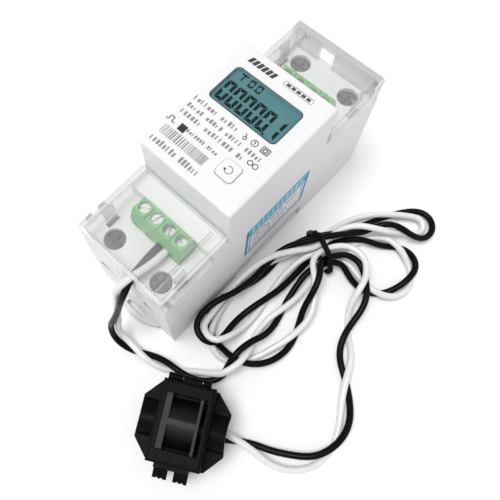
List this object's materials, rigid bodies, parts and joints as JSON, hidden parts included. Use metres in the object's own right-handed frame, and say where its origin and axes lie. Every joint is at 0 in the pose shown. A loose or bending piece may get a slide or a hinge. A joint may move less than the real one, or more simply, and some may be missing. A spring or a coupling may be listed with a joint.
{
  "type": "energy meter",
  "caption": "Rail-mounted single-phase energy meter with display, button, terminal bays under clear covers and a hinged clip-on current transformer on a twisted lead.",
  "frame": {"origin": "middle of the seat that rests on the mounting rail, with the meter lying on its back", "axes": "+Z towards the viewer of the display, +Y along the housing away from the transformer's lead, +X along the rail"},
  "size_m": [0.1007, 0.1359, 0.066],
  "materials": {
    "white_housing": "fine satin moulding",
    "clear_cover": "clear polycarbonate, polished",
    "clear_lens": "clear window",
    "light_grey_clip": "satin moulding",
    "spring_steel": "drawn wire",
    "zinc_steel": "zinc plated",
    "brass_bar": "bright",
    "shunt_alloy": "matt alloy",
    "carrier": "matt",
    "green_block": "satin moulding",
    "nickel_screw": "nickel plated",
    "board": "lacquered laminate",
    "header": "matt",
    "component": "sleeved",
    "lcd": "teal display",
    "backlight": "diffusing",
    "switch": "matt",
    "white_button": "satin",
    "red_light": "translucent",
    "label": "printed film",
    "black_case": "fine spark texture",
    "ferrite": "ground ferrite",
    "winding": "enamelled wire",
    "grey_retainer": "matt",
    "pin_steel": "ground",
    "cord_jacket": "soft vinyl, one white and one black core",
    "tie_wire": "vinyl coated"
  },
  "bodies": {
    "meter": {"base_housing": "white_housing", "top_housing": "white_housing", "din_clip_spring": "spring_steel", "neutral_busbar": "brass_bar", "line_busbar_front": "brass_bar", "line_busbar_rear": "brass_bar", "current_shunt": "shunt_alloy", "busbar_carrier": "carrier", "front_terminal_block": "green_block", "front_block_screws": "nickel_screw", "rear_terminal_block": "green_block", "rear_block_screws": "nickel_screw", "main_board": "board", "display_board": "board", "board_header": "header", "supply_parts": "component", "lcd_backlight": "backlight", "lcd_glass": "lcd", "display_lens": "clear_lens", "button_switch": "switch", "pulse_light": "red_light", "pulse_lamp": "red_light", "seal_label": "label", "ct_lower_shell": "black_case", "ct_lower_core": "ferrite", "ct_winding": "winding", "ct_hinge_pin": "pin_steel", "ct_gland": "black_case", "cord_lead": "cord_jacket", "cord_hank": "cord_jacket", "cord_tail": "cord_jacket", "cord_tie": "tie_wire"},
    "front_cover": {"front_terminal_cover": "clear_cover"},
    "rear_cover": {"rear_terminal_cover": "clear_cover"},
    "rail_clip": {"din_clip": "light_grey_clip"},
    "button": {"push_button": "white_button"},
    "transformer_lid": {"ct_upper_shell": "black_case", "ct_upper_core": "ferrite", "ct_core_retainer": "grey_retainer", "ct_latch": "black_case"},
    "clamp_screw_1": {"terminal_screw_1": "zinc_steel"},
    "clamp_cage_1": {"terminal_cage_1": "zinc_steel"},
    "clamp_screw_2": {"terminal_screw_2": "zinc_steel"},
    "clamp_cage_2": {"terminal_cage_2": "zinc_steel"},
    "clamp_screw_3": {"terminal_screw_3": "zinc_steel"},
    "clamp_cage_3": {"terminal_cage_3": "zinc_steel"},
    "clamp_screw_4": {"terminal_screw_4": "zinc_steel"},
    "clamp_cage_4": {"terminal_cage_4": "zinc_steel"}
  },
  "joints": [
    {"name": "front_cover_lift", "type": "slide", "parent": "meter", "child": "front_cover", "axis": [0, 0, 1], "range_m": [0, 0.03]},
    {"name": "rear_cover_lift", "type": "slide", "parent": "meter", "child": "rear_cover", "axis": [0, 0, 1], "range_m": [0, 0.03]},
    {"name": "rail_clip_slide", "type": "slide", "parent": "meter", "child": "rail_clip", "axis": [0, -1, 0], "range_m": [0, 0.0035], "stiffness_N_per_m": 400, "springref_m": -0.001, "deforming": ["din_clip_spring"]},
    {"name": "button_press", "type": "slide", "parent": "meter", "child": "button", "axis": [0, 0, -1], "range_m": [0, 0.0008], "stiffness_N_per_m": 600, "springref_m": -0.0005},
    {"name": "transformer_hinge", "type": "hinge", "parent": "meter", "child": "transformer_lid", "pos_m": [0.03373, -0.05606, 0.0042], "axis": [-0.8611, -0.5084, 0], "range_deg": [0, 95]},
    {"name": "clamp_cage_1_lift", "type": "slide", "parent": "meter", "child": "clamp_cage_1", "axis": [0, 0, 1], "range_m": [0, 0.003]},
    {"name": "clamp_screw_1_turn", "type": "hinge", "parent": "meter", "child": "clamp_screw_1", "pos_m": [-0.01, -0.0437, 0.03], "axis": [0, 0, -1], "range_deg": [0, 1350]},
    {"name": "clamp_cage_2_lift", "type": "slide", "parent": "meter", "child": "clamp_cage_2", "axis": [0, 0, 1], "range_m": [0, 0.003]},
    {"name": "clamp_screw_2_turn", "type": "hinge", "parent": "meter", "child": "clamp_screw_2", "pos_m": [0.01, -0.0437, 0.03], "axis": [0, 0, -1], "range_deg": [0, 1350]},
    {"name": "clamp_cage_3_lift", "type": "slide", "parent": "meter", "child": "clamp_cage_3", "axis": [0, 0, 1], "range_m": [0, 0.003]},
    {"name": "clamp_screw_3_turn", "type": "hinge", "parent": "meter", "child": "clamp_screw_3", "pos_m": [-0.01, 0.0437, 0.03], "axis": [0, 0, -1], "range_deg": [0, 1350]},
    {"name": "clamp_cage_4_lift", "type": "slide", "parent": "meter", "child": "clamp_cage_4", "axis": [0, 0, 1], "range_m": [0, 0.003]},
    {"name": "clamp_screw_4_turn", "type": "hinge", "parent": "meter", "child": "clamp_screw_4", "pos_m": [0.01, 0.0437, 0.03], "axis": [0, 0, -1], "range_deg": [0, 1350]}
  ],
  "couplings": [
    {"joint": "clamp_screw_1_turn", "follows": "clamp_cage_1_lift", "rad_per_m": 7854},
    {"joint": "clamp_screw_2_turn", "follows": "clamp_cage_2_lift", "rad_per_m": 7854},
    {"joint": "clamp_screw_3_turn", "follows": "clamp_cage_3_lift", "rad_per_m": 7854},
    {"joint": "clamp_screw_4_turn", "follows": "clamp_cage_4_lift", "rad_per_m": 7854}
  ]
}
